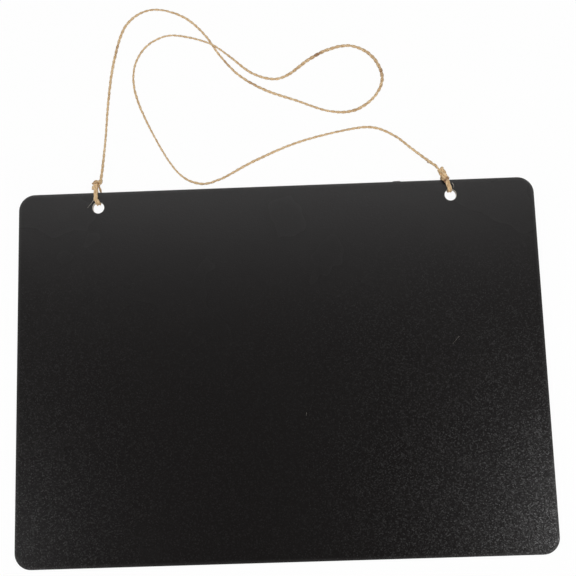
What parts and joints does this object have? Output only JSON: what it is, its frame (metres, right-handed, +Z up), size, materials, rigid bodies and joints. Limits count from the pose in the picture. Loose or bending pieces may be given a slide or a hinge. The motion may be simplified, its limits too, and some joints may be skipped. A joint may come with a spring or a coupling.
{
  "type": "wall chalkboard",
  "caption": "Thin matt black writing board with rounded corners, lying on its back, with a free length of jute twine knotted through hanging holes near its top edge.",
  "frame": {"origin": "under the middle of the sheet, on the surface that the board and its twine lie on", "axes": "+X along the sheet's long side, +Y from its bottom edge to its top edge with the holes, +Z up out of the writing surface"},
  "size_m": [0.353, 0.3854, 0.0098],
  "materials": {
    "black_sheet": "matt black writing surface with a fine grain",
    "jute_twine": "natural jute, loosely twisted, with loose fibres"
  },
  "bodies": {
    "board": {"chalkboard_sheet": "black_sheet", "free_twine": "jute_twine"},
    "left_loop": {"left_outer_loop": "jute_twine", "left_inner_loop": "jute_twine", "left_knot": "jute_twine"},
    "right_loop": {"right_inner_loop": "jute_twine", "right_outer_loop": "jute_twine", "right_knot": "jute_twine"}
  },
  "joints": [
    {"name": "left_loop_swing", "type": "hinge", "parent": "board", "child": "left_loop", "pos_m": [-0.1217, 0.11441, 0.0018], "axis": [0, -0.0075, 1], "range_deg": [-34, 26]},
    {"name": "right_loop_swing", "type": "hinge", "parent": "board", "child": "right_loop", "pos_m": [0.1199, 0.11441, 0.0018], "axis": [0, -0.0075, 1], "range_deg": [-44, 15]}
  ]
}
